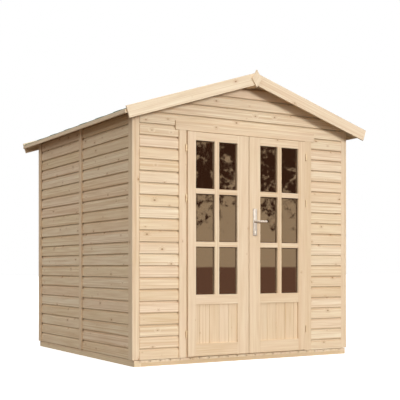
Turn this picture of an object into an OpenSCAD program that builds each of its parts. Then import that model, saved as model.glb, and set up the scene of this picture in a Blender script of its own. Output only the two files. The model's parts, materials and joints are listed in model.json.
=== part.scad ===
/* [Walls] */
// Outside width of the cabin over its side trims, left to right
body_w = 2070; // [1850:10:2600]
// Outside depth of the cabin over its doorway trims and its back batten, front to back
body_d = 2060; // [1400:10:3000]
// Height of the side walls above the floor boards
wall_h = 1890; // [1860:10:2300]
// Thickness of the horizontal wall boards
clad_t = 18; // [12:1:28]
// Depth of the studs and plates behind the wall boards
stud_d = 40; // [28:1:60]
// Width of the studs and plates seen from inside
stud_w = 45; // [30:1:60]
// Number of studs in each half of a side wall or of the back wall
panel_studs = 3; // [2:1:5]
// Distance from the middle to the posts over the doorway
over_door_post_x = 280; // [200:10:400]

/* [Trims] */
// Thickness of the trim boards that cover the wall joints
trim_t = 16; // [8:1:25]
// Width that shows of the front and back corner trims, with the edge of the side trims
corner_trim_w = 60; // [40:1:90]
// Width of the side wall trims at the front corners
side_front_trim_w = 70; // [40:1:100]
// Width of the other trims on the side and back walls
batten_w = 48; // [30:1:80]
// Width of the trims beside the doorway
jamb_trim_w = 65; // [45:1:80]
// Edge of the frame posts that shows beside those trims
jamb_reveal = 1; // [0:1:5]
// Height of the trim over the doorway
head_trim_h = 70; // [45:1:110]
// How far the trim over the doorway runs past the trims beside it
head_trim_ear = 31; // [0:1:60]

/* [Base] */
// Thickness of the floor boards
floor_t = 18; // [12:1:28]
// Height of the bearers under the floor boards
bearer_h = 30; // [20:1:60]
// Width of a floor bearer
bearer_w = 58; // [40:1:90]
// Number of bearers that run across between the two side bearers
bearer_n = 5; // [3:1:9]

/* [Roof] */
// Rise of the roof for each millimetre across
roof_slope = 0.3224; // [0.25:0.01:0.6]
// Thickness of the roof boards
deck_t = 16; // [12:1:25]
// Thickness of the shingle layer
cover_t = 4; // [2:1:8]
// How far the roof boards reach past the side walls
eave_out = 96; // [40:1:250]
// How far the roof boards reach past the front and back walls
gable_out = 98; // [80:1:250]
// Height of the strip along each eave
fascia_h = 30; // [25:1:60]
// Thickness of the eave strips and the barge boards
barge_t = 16; // [10:1:25]
// Width of a barge board
barge_w = 93; // [70:1:140]
// How far the barge boards stand up past the shingles
barge_up = 16; // [5:1:25]
// Width of the diamond plate where two barge boards meet
diamond_w = 93; // [50:1:140]
// Height of the diamond plate
diamond_h = 146; // [110:1:200]
// Thickness of the diamond plate
diamond_t = 12; // [8:1:20]
// Width of the purlins that carry the roof boards
purlin_w = 45; // [30:1:70]
// Height of the purlins that carry the roof boards
purlin_h = 70; // [55:1:90]
// Distance from the ridge to the middle of a side purlin
side_purlin_x = 500; // [300:10:700]
// How far the ridge strip reaches down each side of the roof
ridge_cap_w = 110; // [60:1:200]
// Thickness of the ridge strip
ridge_cap_t = 4; // [2:1:8]
// Gap between the sloping faces of the roof that lie on each other
slope_gap = 0.02; // [0.01:0.01:0.1]

/* [Doors] */
// Width of one door leaf
leaf_w = 566; // [460:1:690]
// Height of one door leaf
leaf_h = 1750; // [1450:1:1780]
// Thickness of a door leaf
leaf_t = 40; // [32:1:50]
// Width of the stile that carries the hinges
hinge_stile_w = 72; // [50:1:90]
// Width of the stile where the two leaves meet
meeting_stile_w = 108; // [80:1:125]
// Height of the top rail
top_rail_h = 65; // [50:1:110]
// Height of the rail between the glass and the lower panel
lock_rail_h = 77; // [60:1:120]
// Height of the bottom rail
bottom_rail_h = 96; // [60:1:140]
// Height of the lower panel
lower_panel_h = 306; // [150:1:450]
// Thickness of the lower panel
lower_panel_t = 14; // [10:1:18]
// How far the lower panel lies behind the face of the leaf
panel_inset = 12; // [4:1:14]
// Thickness of the glass
glass_t = 4; // [3:1:6]
// Gap around a leaf
leaf_gap = 5; // [5:1:8]
// Gap under a leaf
sill_gap = 10; // [6:1:20]
// How far the leaves stand out past the door trims
leaf_proud = 10; // [10:1:14]
// Width of the frame posts and of the frame head
jamb_w = 43; // [35:1:60]
// How far the door stop reaches in behind a leaf
stop_w = 15; // [10:1:25]
// Height of the threshold behind the leaves
threshold_h = 20; // [15:1:35]

/* [Door furniture] */
// Diameter of a hinge barrel
barrel_d = 13; // [10:1:14]
// Gap between a hinge barrel and the edge of its leaf
barrel_gap = 5; // [5:1:6]
// Length of each half of a hinge barrel
knuckle_h = 28; // [20:1:40]
// Gap between the two halves of a hinge barrel
knuckle_gap = 0.5; // [0.3:0.1:1]
// Diameter of the hinge pin
pin_d = 7; // [4:1:8]
// Thickness of the closed end over the hinge pin
knuckle_cap_t = 6; // [3:1:8]
// Gap over the end of the hinge pin
pin_end_gap = 1; // [0.5:0.5:3]
// Diameter of the screws that fix a hinge
hinge_screw_d = 4; // [3:1:5]
// Depth of the hinge line behind the face of the leaf
hinge_in = 3; // [3:1:4]
// Radial clearance of a pin or spindle in its hole
run_clear = 0.05; // [0.02:0.01:0.1]
// Distance of the highest hinge below the top of the leaf
hinge_high_drop = 130; // [80:1:250]
// Distance of the middle hinge below the top of the leaf
hinge_mid_drop = 520; // [400:1:800]
// Distance of the lowest hinge above the bottom of the leaf
hinge_low_rise = 175; // [80:1:350]
// Height of the handle spindle above the floor boards
handle_z = 1075; // [900:1:1150]
// Length of a handle plate
plate_h = 220; // [190:1:260]
// Width of a handle plate
plate_w = 38; // [34:1:45]
// Thickness of a handle plate
plate_t = 8; // [5:1:12]
// Corner radius of a handle plate
plate_r = 6; // [3:1:15]
// Distance of the spindle below the top of the handle plate
spindle_drop = 105; // [50:1:115]
// Diameter of the handle spindle
spindle_d = 10; // [8:1:12]
// Diameter of the neck between a plate and its lever
neck_d = 20; // [16:1:26]
// Distance from a plate to the middle of its lever
lever_out = 32; // [24:1:45]
// Gap between a plate and the neck that turns on it
neck_gap = 0.5; // [0.3:0.1:1]
// Length of the lever past the spindle
lever_l = 97; // [90:1:140]
// Diameter of the lever
lever_d = 16; // [12:1:18]
// Diameter of the lock cylinder
lock_d = 17; // [14:1:20]
// Distance of the lock cylinder below the spindle
lock_drop = 85; // [60:1:90]
// How far the lock cylinder stands out past each plate
lock_proud = 3; // [1:1:6]
// Gap around the lock cylinder
lock_gap = 0.1; // [0.05:0.05:0.3]

/* [Hidden] */

$fn = 48;
margin = 1;
roof_a = atan(roof_slope);
half_w = body_w / 2;
half_d = body_d / 2;
floor_z = bearer_h + floor_t;
clad_x = half_w - trim_t;
clad_y = half_d - trim_t;
stud_x = clad_x - clad_t;
stud_y = clad_y - clad_t;
room_x = stud_x - stud_d;
corner_x = half_w - corner_trim_w;
room_y = stud_y - stud_d;

// Heights at the ridge line of each layer of the roof
soffit_ridge_z = floor_z + wall_h + clad_x * roof_slope;
deck_low_z = soffit_ridge_z + slope_gap;
deck_ridge_z = deck_low_z + deck_t / cos(roof_a);
cover_low_z = deck_ridge_z + slope_gap;
cover_ridge_z = cover_low_z + cover_t / cos(roof_a);
cap_low_z = cover_ridge_z + slope_gap;
cap_ridge_z = cap_low_z + ridge_cap_t / cos(roof_a);
barge_ridge_z = cover_ridge_z + barge_up / cos(roof_a);
barge_rise = barge_w / cos(roof_a);
plate_rise = stud_w / cos(roof_a);
ridge_purlin_z = soffit_ridge_z - purlin_h;
diamond_z = barge_ridge_z - barge_rise / 2;
eave_x = half_w + eave_out;
fascia_x = eave_x + barge_t;
gable_y = half_d + gable_out;
barge_y = gable_y + barge_t;

// Doorway and leaves
doorway_z = floor_z + sill_gap + leaf_h + leaf_gap;
head_z = doorway_z + jamb_w;
leaf_x0 = leaf_gap / 2;
leaf_x1 = leaf_x0 + leaf_w;
jamb_x0 = leaf_x1 + leaf_gap;
jamb_x1 = jamb_x0 + jamb_w;
jamb_trim_x0 = jamb_x0 + jamb_reveal;
jamb_trim_x1 = jamb_trim_x0 + jamb_trim_w;
stop_x = jamb_x0 - stop_w;
leaf_y = half_d + leaf_proud;
leaf_back_y = leaf_y - leaf_t;
stop_y = leaf_back_y - leaf_gap;
leaf_z0 = floor_z + sill_gap;
leaf_z1 = leaf_z0 + leaf_h;
panel_z0 = leaf_z0 + bottom_rail_h;
panel_z1 = panel_z0 + lower_panel_h;
light_z0 = panel_z1 + lock_rail_h;
light_z1 = leaf_z1 - top_rail_h;
light_x0 = leaf_x0 + meeting_stile_w;
light_x1 = leaf_x1 - hinge_stile_w;
glass_y = leaf_y - (leaf_t - glass_t) / 2;

// Hinges and handle
hinge_x = leaf_x1 + barrel_gap + barrel_d / 2;
hinge_y = leaf_y - hinge_in;
hinge_zs = [leaf_z0 + hinge_low_rise, leaf_z1 - hinge_mid_drop, leaf_z1 - hinge_high_drop];
bore_h = knuckle_h - knuckle_cap_t;
screw_seat = 1.5;
spindle_x = leaf_x0 + meeting_stile_w / 2;
spindle_z = floor_z + handle_z;
lever_y = leaf_y + plate_t + lever_out;
lever_back_y = leaf_back_y - plate_t - lever_out;

pale_pine = [0.89, 0.78, 0.62];
inside_pine = [0.82, 0.70, 0.54];
glass_tint = [0.30, 0.22, 0.15, 0.6];
satin_steel = [0.75, 0.75, 0.73];
shingle_green = [0.27, 0.42, 0.33];

// Underside of the roof boards at a distance x from the ridge
function soffit_z(x) = soffit_ridge_z - x * roof_slope;

// Start of piece i of n pieces of width w, spread from a to b
function spread(i, n, w, a, b) = a + i * (b - a - w) / (n - 1);

// A block given by its low and its high corner
module block(low, high) {
    translate(low) cube(high - low);
}

// An outline in X and Z, made solid from y0 back to y1
module upright(points, y0, y1) {
    translate([0, y1, 0]) rotate([90, 0, 0]) linear_extrude(y1 - y0) polygon(points);
}

// A piece and its copy on the other side of the ridge line
module both_sides() {
    children();
    mirror([1, 0, 0]) children();
}

// A piece and its copy at the other end
module both_ends() {
    children();
    mirror([0, 1, 0]) children();
}

// A board from x0 to x1 that stands from z0 up to the roof boards
module to_the_soffit(x0, x1, y0, y1, z0, drop = 0) {
    upright([[x0, z0], [x1, z0], [x1, soffit_z(x1) - drop], [x0, soffit_z(x0) - drop]], y0, y1);
}

// A layer of the right roof slope, from x0 to x1, between two heights at the ridge
module roof_layer(x0, x1, low, high, y) {
    upright([[x0, low - x0 * roof_slope], [x1, low - x1 * roof_slope],
             [x1, high - x1 * roof_slope], [x0, high - x0 * roof_slope]], -y, y);
}

module side_bearers() {
    color(inside_pine)
        both_sides() block([clad_x - bearer_w, -clad_y, 0], [clad_x, clad_y, bearer_h]);
}

module cross_bearers() {
    end_x = clad_x - bearer_w;
    color(inside_pine)
        for (i = [0 : bearer_n - 1])
            translate([0, spread(i, bearer_n, bearer_w, -clad_y, clad_y), 0])
                block([-end_x, 0, 0], [end_x, bearer_w, bearer_h]);
}

module floor_deck() {
    color(pale_pine) block([-clad_x, -clad_y, bearer_h], [clad_x, clad_y, floor_z]);
}

// Wall boards of the front on the right of the doorway
module front_wall_right() {
    color(pale_pine) to_the_soffit(jamb_x1, corner_x, -clad_y, -stud_y, floor_z);
}

module front_wall_left() {
    mirror([1, 0, 0]) front_wall_right();
}

// Wall boards over the doorway, notched for the ridge purlin
module front_gable() {
    color(pale_pine) difference() {
        both_sides() to_the_soffit(0, jamb_x1, -clad_y, -stud_y, head_z);
        block([-purlin_w / 2, -clad_y - margin, ridge_purlin_z],
              [purlin_w / 2, -stud_y + margin, soffit_ridge_z + margin]);
    }
}

// Wall boards of half of the back, notched for the ridge purlin
module back_wall_right() {
    color(pale_pine) difference() {
        to_the_soffit(0, corner_x, stud_y, clad_y, floor_z);
        block([-margin, stud_y - margin, ridge_purlin_z],
              [purlin_w / 2, clad_y + margin, soffit_ridge_z + margin]);
    }
}

module back_wall_left() {
    mirror([1, 0, 0]) back_wall_right();
}

// Wall boards of the front half of a side; the front and back wall boards end against them
module right_wall_front() {
    color(pale_pine) to_the_soffit(stud_x, clad_x, -stud_y, 0, floor_z);
}

module right_wall_back() {
    mirror([0, 1, 0]) right_wall_front();
}

module left_wall_front() {
    mirror([1, 0, 0]) right_wall_front();
}

module left_wall_back() {
    mirror([1, 0, 0]) right_wall_back();
}

module side_wall_studs() {
    color(inside_pine)
        both_sides() both_ends()
            for (i = [0 : panel_studs - 1])
                translate([0, spread(i, panel_studs, stud_w, 0, stud_y), 0])
                    block([room_x, 0, floor_z + stud_w],
                          [stud_x, stud_w, floor_z + wall_h - stud_w]);
}

// Studs of the back wall, corner posts of the front and posts over the doorway
module end_wall_studs() {
    color(inside_pine) {
        block([-stud_w, room_y, floor_z + stud_w], [stud_w, stud_y, ridge_purlin_z]);
        block([-stud_w / 2, -stud_y, head_z], [stud_w / 2, -room_y, ridge_purlin_z]);
        both_sides() {
            for (i = [1 : panel_studs - 1])
                gable_stud(spread(i, panel_studs, stud_w, 0, room_x), room_y, stud_y,
                           floor_z + stud_w);
            gable_stud(room_x - stud_w, -stud_y, -room_y, floor_z + stud_w);
            gable_stud(over_door_post_x, -stud_y, -room_y, head_z);
        }
    }
}

// A stud that stands under the sloping plate of a gable
module gable_stud(x, y0, y1, z0) {
    to_the_soffit(x, x + stud_w, y0, y1, z0, plate_rise + slope_gap);
}

module side_plates() {
    color(inside_pine)
        both_sides() {
            block([room_x, -stud_y, floor_z], [stud_x, stud_y, floor_z + stud_w]);
            to_the_soffit(room_x, stud_x, -stud_y, stud_y, floor_z + wall_h - stud_w);
        }
}

// Sole plates of the front and back, and the sloping plates of both gables
module end_plates() {
    color(inside_pine) {
        block([-room_x, room_y, floor_z], [room_x, stud_y, floor_z + stud_w]);
        both_sides() {
            block([jamb_x1, -stud_y, floor_z], [room_x, -room_y, floor_z + stud_w]);
            both_ends()
                intersection() {
                    roof_layer(purlin_w / 2, room_x, soffit_ridge_z - plate_rise,
                               soffit_ridge_z, stud_y);
                    block([0, room_y, 0], [room_x, stud_y, soffit_ridge_z]);
                }
        }
    }
}

// Corner trims that the front and back boards end against, trims beside the doorway, back batten
module end_wall_trims() {
    color(pale_pine) {
        both_sides() {
            both_ends() to_the_soffit(corner_x, clad_x, -clad_y, -stud_y, floor_z);
            block([jamb_trim_x0, -half_d, floor_z], [jamb_trim_x1, -clad_y, doorway_z]);
        }
        block([-batten_w / 2, clad_y, floor_z], [batten_w / 2, half_d, ridge_purlin_z]);
    }
}

// Trims of a side wall: front corner, middle joint and back corner
module right_wall_trims() {
    color(pale_pine) {
        to_the_soffit(clad_x, half_w, -clad_y, side_front_trim_w - clad_y, floor_z);
        to_the_soffit(clad_x, half_w, -batten_w / 2, batten_w / 2, floor_z);
        to_the_soffit(clad_x, half_w, clad_y - batten_w, clad_y, floor_z);
    }
}

module left_wall_trims() {
    mirror([1, 0, 0]) right_wall_trims();
}

module door_head_trim() {
    ear_x = jamb_trim_x1 + head_trim_ear;
    color(pale_pine)
        block([-ear_x, -half_d, doorway_z], [ear_x, -clad_y, doorway_z + head_trim_h]);
}

// Frame posts, each with a stop behind its leaf
module door_jambs() {
    color(pale_pine)
        both_sides()
            translate([0, 0, floor_z])
                linear_extrude(doorway_z - floor_z)
                    polygon([[jamb_x0, -clad_y], [jamb_x1, -clad_y], [jamb_x1, -room_y],
                             [stop_x, -room_y], [stop_x, -stop_y], [jamb_x0, -stop_y]]);
}

// Frame head, with a stop behind the top of the leaves
module door_head() {
    color(pale_pine) {
        block([-jamb_x1, -clad_y, doorway_z], [jamb_x1, -room_y, head_z]);
        block([-stop_x, -stop_y, doorway_z - stop_w], [stop_x, -room_y, doorway_z]);
    }
}

module door_threshold() {
    color(pale_pine)
        block([-stop_x, -stop_y, floor_z], [stop_x, -room_y, floor_z + threshold_h]);
}

// Lower halves of the hinges, with the pins and the part of their screws that shows before the trims
module frame_hinges() {
    color(satin_steel)
        both_sides()
            for (z = hinge_zs)
                translate([hinge_x, -hinge_y, z]) {
                    translate([0, 0, -knuckle_h - knuckle_gap / 2])
                        cylinder(d = barrel_d, h = knuckle_h);
                    translate([0, 0, -knuckle_h])
                        cylinder(d = pin_d, h = knuckle_h + knuckle_gap / 2 + bore_h - pin_end_gap);
                    translate([0, 0, -knuckle_h / 2])
                        rotate([-90, 0, 0])
                            cylinder(d = hinge_screw_d, h = hinge_y - half_d);
                }
}

// Upper halves of the hinges, bored for the pins and screwed into the leaf
module right_door_hinges() {
    color(satin_steel)
        for (z = hinge_zs)
            translate([hinge_x, -hinge_y, z + knuckle_gap / 2]) {
                difference() {
                    cylinder(d = barrel_d, h = knuckle_h);
                    translate([0, 0, -margin])
                        cylinder(d = pin_d + 2 * run_clear, h = bore_h + margin);
                }
                translate([screw_seat - barrel_d / 2, 0, knuckle_h / 2])
                    rotate([0, -90, 0])
                        cylinder(d = hinge_screw_d, h = barrel_gap + screw_seat);
            }
}

module left_door_hinges() {
    mirror([1, 0, 0]) right_door_hinges();
}

// Stiles and rails of the right leaf, without its lock
module leaf_frame() {
    difference() {
        block([leaf_x0, -leaf_y, leaf_z0], [leaf_x1, -leaf_back_y, leaf_z1]);
        block([light_x0, -leaf_y - margin, panel_z0], [light_x1, -leaf_back_y + margin, panel_z1]);
        block([light_x0, -leaf_y - margin, light_z0], [light_x1, -leaf_back_y + margin, light_z1]);
    }
}

// A round bar through the leaf at the spindle line, at a height, past both plates by extra
module through_leaf(d, z, extra) {
    y0 = -leaf_y - plate_t - extra;
    translate([spindle_x, y0, z])
        rotate([-90, 0, 0])
            cylinder(d = d, h = leaf_t + 2 * plate_t + 2 * extra);
}

module lock_holes() {
    through_leaf(spindle_d + 2 * run_clear, spindle_z, margin);
    through_leaf(lock_d + 2 * lock_gap, spindle_z - lock_drop, margin);
}

module left_door_frame() {
    color(pale_pine) mirror([1, 0, 0]) leaf_frame();
}

module right_door_frame() {
    color(pale_pine) difference() {
        leaf_frame();
        lock_holes();
    }
}

module right_door_glass() {
    color(glass_tint)
        block([light_x0, -glass_y, light_z0], [light_x1, glass_t - glass_y, light_z1]);
}

module left_door_glass() {
    mirror([1, 0, 0]) right_door_glass();
}

module right_door_panel() {
    face_y = leaf_y - panel_inset;
    color(pale_pine)
        block([light_x0, -face_y, panel_z0], [light_x1, lower_panel_t - face_y, panel_z1]);
}

module left_door_panel() {
    mirror([1, 0, 0]) right_door_panel();
}

// Outline of a handle plate with round corners, about the spindle
module plate_outline() {
    x = plate_w / 2 - plate_r;
    z0 = spindle_drop - plate_h + plate_r;
    z1 = spindle_drop - plate_r;
    translate([-x, z0 - plate_r]) square([2 * x, plate_h]);
    translate([-plate_w / 2, z0]) square([plate_w, z1 - z0]);
    for (side = [-x, x])
        for (z = [z0, z1])
            translate([side, z]) circle(plate_r);
}

module handle_plates() {
    color(satin_steel) difference() {
        for (y = [-leaf_y, plate_t - leaf_back_y])
            translate([spindle_x, y, spindle_z])
                rotate([90, 0, 0])
                    linear_extrude(plate_t) plate_outline();
        lock_holes();
    }
}

module lock_cylinder() {
    color(satin_steel) through_leaf(lock_d, spindle_z - lock_drop, lock_proud);
}

// Levers on both faces of the right leaf, with their necks and the spindle
module door_handle() {
    neck_h = lever_out + lever_d / 2 - neck_gap;
    color(satin_steel) {
        through_leaf(spindle_d, spindle_z, lever_out);
        for (y = [-lever_y - lever_d / 2, -leaf_back_y + plate_t + neck_gap])
            translate([spindle_x, y, spindle_z]) rotate([-90, 0, 0]) cylinder(d = neck_d, h = neck_h);
        for (y = [lever_y, lever_back_y])
            translate([spindle_x, -y, spindle_z]) rotate([0, 90, 0]) cylinder(d = lever_d, h = lever_l);
    }
}

// Ridge purlin through both gables, and a purlin inside under each slope
module purlins() {
    half_purlin = purlin_w / 2;
    color(inside_pine) {
        upright([[-half_purlin, ridge_purlin_z], [half_purlin, ridge_purlin_z],
                 [half_purlin, soffit_z(half_purlin)], [0, soffit_ridge_z],
                 [-half_purlin, soffit_z(half_purlin)]], -gable_y, gable_y);
        both_sides()
            to_the_soffit(side_purlin_x - half_purlin, side_purlin_x + half_purlin,
                          -room_y, room_y, soffit_z(side_purlin_x) - purlin_h);
    }
}

module roof_deck_right() {
    color(pale_pine) roof_layer(0, eave_x, deck_low_z, deck_ridge_z, gable_y);
}

module roof_deck_left() {
    mirror([1, 0, 0]) roof_deck_right();
}

module roof_cover_right() {
    color(shingle_green) roof_layer(0, fascia_x, cover_low_z, cover_ridge_z, gable_y);
}

module roof_cover_left() {
    mirror([1, 0, 0]) roof_cover_right();
}

module ridge_cap() {
    color(shingle_green)
        both_sides() roof_layer(0, ridge_cap_w, cap_low_z, cap_ridge_z, gable_y);
}

// Strips along the eaves, under the edge of the shingles
module eave_fascias() {
    fascia_rise = fascia_h + barge_t * roof_slope;
    color(pale_pine)
        both_sides()
            upright([[eave_x, deck_ridge_z - eave_x * roof_slope - fascia_rise],
                     [fascia_x, deck_ridge_z - eave_x * roof_slope - fascia_rise],
                     [fascia_x, deck_ridge_z - fascia_x * roof_slope],
                     [eave_x, deck_ridge_z - eave_x * roof_slope]], -gable_y, gable_y);
}

// Barge boards of the right slope, cut square at their lower ends
module right_barge_boards() {
    end_z = barge_ridge_z - fascia_x * roof_slope;
    color(pale_pine)
        both_ends()
            upright([[0, barge_ridge_z], [fascia_x, end_z],
                     [fascia_x - barge_w * sin(roof_a), end_z - barge_w * cos(roof_a)],
                     [0, barge_ridge_z - barge_rise]], -barge_y, -gable_y);
}

module left_barge_boards() {
    mirror([1, 0, 0]) right_barge_boards();
}

module ridge_diamonds() {
    color(pale_pine)
        both_ends()
            upright([[0, diamond_z - diamond_h / 2], [diamond_w / 2, diamond_z],
                     [0, diamond_z + diamond_h / 2], [-diamond_w / 2, diamond_z]],
                    -barge_y - diamond_t, -barge_y);
}

side_bearers();
cross_bearers();
floor_deck();
front_wall_left();
front_wall_right();
front_gable();
left_wall_front();
left_wall_back();
right_wall_front();
right_wall_back();
back_wall_left();
back_wall_right();
side_wall_studs();
end_wall_studs();
side_plates();
end_plates();
end_wall_trims();
left_wall_trims();
right_wall_trims();
door_head_trim();
door_jambs();
door_head();
door_threshold();
frame_hinges();
left_door_frame();
left_door_glass();
left_door_panel();
left_door_hinges();
right_door_frame();
right_door_glass();
right_door_panel();
right_door_hinges();
handle_plates();
lock_cylinder();
door_handle();
purlins();
roof_deck_left();
roof_deck_right();
roof_cover_left();
roof_cover_right();
ridge_cap();
eave_fascias();
left_barge_boards();
right_barge_boards();
ridge_diamonds();
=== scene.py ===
"""Finish of a board-clad garden cabin, laid round its fixed construction: boards, trims, doors, roof
and stage."""

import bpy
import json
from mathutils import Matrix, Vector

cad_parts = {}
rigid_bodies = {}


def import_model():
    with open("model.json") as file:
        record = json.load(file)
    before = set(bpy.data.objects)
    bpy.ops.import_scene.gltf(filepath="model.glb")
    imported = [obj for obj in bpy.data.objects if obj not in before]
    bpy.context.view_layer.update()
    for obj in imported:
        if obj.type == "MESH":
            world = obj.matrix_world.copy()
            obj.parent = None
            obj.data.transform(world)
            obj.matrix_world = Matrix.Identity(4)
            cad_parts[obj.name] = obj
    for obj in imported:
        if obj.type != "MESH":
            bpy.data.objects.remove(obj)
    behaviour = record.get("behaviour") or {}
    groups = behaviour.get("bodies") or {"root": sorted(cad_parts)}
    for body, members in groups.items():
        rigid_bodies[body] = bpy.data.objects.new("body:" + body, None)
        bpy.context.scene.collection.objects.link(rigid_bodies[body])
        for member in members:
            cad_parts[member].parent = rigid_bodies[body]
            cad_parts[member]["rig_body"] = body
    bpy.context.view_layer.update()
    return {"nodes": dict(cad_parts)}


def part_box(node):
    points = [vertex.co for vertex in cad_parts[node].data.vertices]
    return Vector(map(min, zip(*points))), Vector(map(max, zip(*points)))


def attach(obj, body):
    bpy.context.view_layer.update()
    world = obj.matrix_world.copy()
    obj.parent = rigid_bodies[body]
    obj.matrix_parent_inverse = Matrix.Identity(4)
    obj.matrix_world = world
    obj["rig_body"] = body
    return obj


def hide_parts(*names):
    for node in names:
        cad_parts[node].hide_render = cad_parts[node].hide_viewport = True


bl_info = {
    "name": "Board-clad Cabin",
    "version": (1, 0, 0),
    "blender": (4, 5, 0),
    "location": "3D View > Sidebar > Cabin",
    "description": "Lays boards, trims, doors, shingles and a stage round the construction of a garden cabin",
    "category": "Add Mesh",
}

import json
import math
import random

import bmesh
import bpy
from bpy.props import FloatProperty, FloatVectorProperty, IntProperty, PointerProperty, StringProperty
from mathutils import Matrix, Vector

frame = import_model()

UP = Vector((0, 0, 1))
LEFT, RIGHT = Vector((-1, 0, 0)), Vector((1, 0, 0))
FRONT, BACK = Vector((0, -1, 0)), Vector((0, 1, 0))
MM = 0.001


# ---------------------------------------------------------------- sizes taken from the construction

def low(node):
    """Lowest corner of the box round a construction node."""
    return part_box(node)[0]


def high(node):
    """Highest corner of the box round a construction node."""
    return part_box(node)[1]


FLOOR_Z = high("floor_deck").z
WALL_IN = low("right_wall_front").x
WALL_OUT = high("right_wall_front").x
DOOR_POST_X = low("front_wall_right").x
CORNER_X = high("front_wall_right").x
ROOF_SLOPE = (high("front_wall_right").z - high("right_wall_front").z) / (WALL_IN - DOOR_POST_X)
ROOF_ANGLE = math.atan(ROOF_SLOPE)
SOFFIT_Z = high("front_wall_right").z + DOOR_POST_X * ROOF_SLOPE
GABLE_Y = high("roof_deck_right").y
EAVE_X = high("roof_deck_right").x
COVER_X = high("roof_cover_right").x
DECK_Z = high("roof_deck_right").z


# ---------------------------------------------------------------- settings

class CabinTimber(bpy.types.PropertyGroup):
    """Widths and profiles of the boards."""

    wall_pitch: FloatProperty(name="Wall board", description="Height that one wall board covers",
                              default=0.090, min=0.05, max=0.2, unit="LENGTH")
    cove: FloatProperty(name="Cove", description="Radius of the hollow along the top edge of a wall board",
                        default=0.012, min=0.003, max=0.016, unit="LENGTH")
    floor_pitch: FloatProperty(name="Floor board", description="Width that one floor board covers",
                               default=0.0876, min=0.05, max=0.2, unit="LENGTH")
    roof_pitch: FloatProperty(name="Roof board", description="Width that one roof board covers",
                              default=0.090, min=0.05, max=0.2, unit="LENGTH")
    panel_pitch: FloatProperty(name="Panel board", description="Width of a board in the lower door panels",
                               default=0.090, min=0.05, max=0.2, unit="LENGTH")
    arris: FloatProperty(name="Arris", description="Radius that planed edges are eased to",
                         default=0.0022, min=0.0, max=0.006, unit="LENGTH")


class CabinDoors(bpy.types.PropertyGroup):
    """Glazing bars of the doors."""

    rows: IntProperty(name="Rows", description="Panes above one another in a leaf", default=3, min=1, max=6)
    upright_bar: FloatProperty(name="Upright bar", description="Width of the upright glazing bar",
                               default=0.040, min=0.015, max=0.08, unit="LENGTH")
    cross_bar: FloatProperty(name="Cross bar", description="Height of a level glazing bar",
                             default=0.040, min=0.015, max=0.08, unit="LENGTH")


class CabinShingles(bpy.types.PropertyGroup):
    """Hexagonal bitumen shingles."""

    tab_pitch: FloatProperty(name="Tab", description="Distance from one tab of a strip to the next",
                             default=0.333, min=0.1, max=0.5, unit="LENGTH")
    exposure: FloatProperty(name="Exposure", description="Distance from one course to the next up the slope",
                            default=0.140, min=0.06, max=0.3, unit="LENGTH")
    thickness: FloatProperty(name="Thickness", description="Thickness of one shingle",
                             default=0.0026, min=0.001, max=0.004, unit="LENGTH")
    green: StringProperty(name="Green", description="sRGB hex colour of the granules", default="#4f7c5e")


class CabinWood(bpy.types.PropertyGroup):
    """sRGB hex colours of the spruce."""

    pale: StringProperty(name="Pale", description="Palest boards", default="#f6e5c7")
    middle: StringProperty(name="Middle", description="Most of the boards", default="#f0dbb7")
    deep: StringProperty(name="Deep", description="Darkest boards", default="#e7cea8")
    knot: StringProperty(name="Knot", description="Heart of a knot", default="#a07347")
    sawn: StringProperty(name="Sawn", description="Framing timber inside", default="#d8bd95")


class CabinStage(bpy.types.PropertyGroup):
    """Camera and light."""

    camera_place: FloatVectorProperty(name="Camera", description="Where the camera stands", subtype="XYZ",
                                      unit="LENGTH", default=(-3.873, -6.824, 0.752))
    camera_turn: FloatProperty(name="Turn", description="Turn of the camera away from facing the front",
                               subtype="ANGLE", default=math.radians(-30.54))
    lens: FloatProperty(name="Lens", description="Focal length in millimetres", default=77.36, min=10)
    rise: FloatProperty(name="Rise", description="Upward shift of the lens", default=0.168)
    key: FloatProperty(name="Key", description="Strength of the key light", default=1.88, min=0)
    key_side: FloatProperty(name="Key side", description="How far right of the front the key light stands",
                            subtype="ANGLE", default=math.radians(14))
    key_height: FloatProperty(name="Key height", description="Height of the key light above the horizon",
                              subtype="ANGLE", default=math.radians(9))
    key_size: FloatProperty(name="Key size", description="Angle that the key light fills",
                            subtype="ANGLE", default=math.radians(14))
    fill: FloatProperty(name="Fill", description="Strength of the broad light from the left", default=1.25,
                        min=0)
    top: FloatProperty(name="Top", description="Strength of the broad light from above", default=1.1, min=0)
    ambient: FloatProperty(name="Ambient", description="Strength of the even light from all round",
                           default=0.30, min=0)


SETTINGS = {"cabin_timber": CabinTimber, "cabin_doors": CabinDoors, "cabin_shingles": CabinShingles,
            "cabin_wood": CabinWood, "cabin_stage": CabinStage}


# ---------------------------------------------------------------- colours and nodes

def srgb(code):
    """An sRGB hex colour as linear red, green, blue and 1."""
    parts = [int(code[i:i + 2], 16) / 255 for i in (1, 3, 5)]
    return [p / 12.92 if p <= 0.04045 else ((p + 0.055) / 1.055) ** 2.4 for p in parts] + [1.0]


def add(tree, kind, inputs=(), stops=(), **settings):
    """Adds a node, sets its properties and colour stops, and fills or links its inputs. A node given as
    an input links its first working output."""
    node = tree.nodes.new(kind)
    for name, value in settings.items():
        setattr(node, name, value)
    for i, (place, colour) in enumerate(stops):
        mark = node.color_ramp.elements[i] if i < 2 else node.color_ramp.elements.new(place)
        mark.position = place
        mark.color = colour
    for name, value in dict(inputs).items():
        if isinstance(value, bpy.types.Node):
            value = next(socket for socket in value.outputs if socket.enabled)
        if isinstance(value, bpy.types.NodeSocket):
            tree.links.new(value, node.inputs[name])
        else:
            node.inputs[name].default_value = value
    return node


def new_material(name):
    """An empty node material and its tree."""
    material = bpy.data.materials.new(name)
    material.use_nodes = True
    material.node_tree.nodes.clear()
    return material, material.node_tree


def close(tree, shader):
    """Makes a shader the surface of its material."""
    add(tree, "ShaderNodeOutputMaterial", {"Surface": shader})


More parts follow.
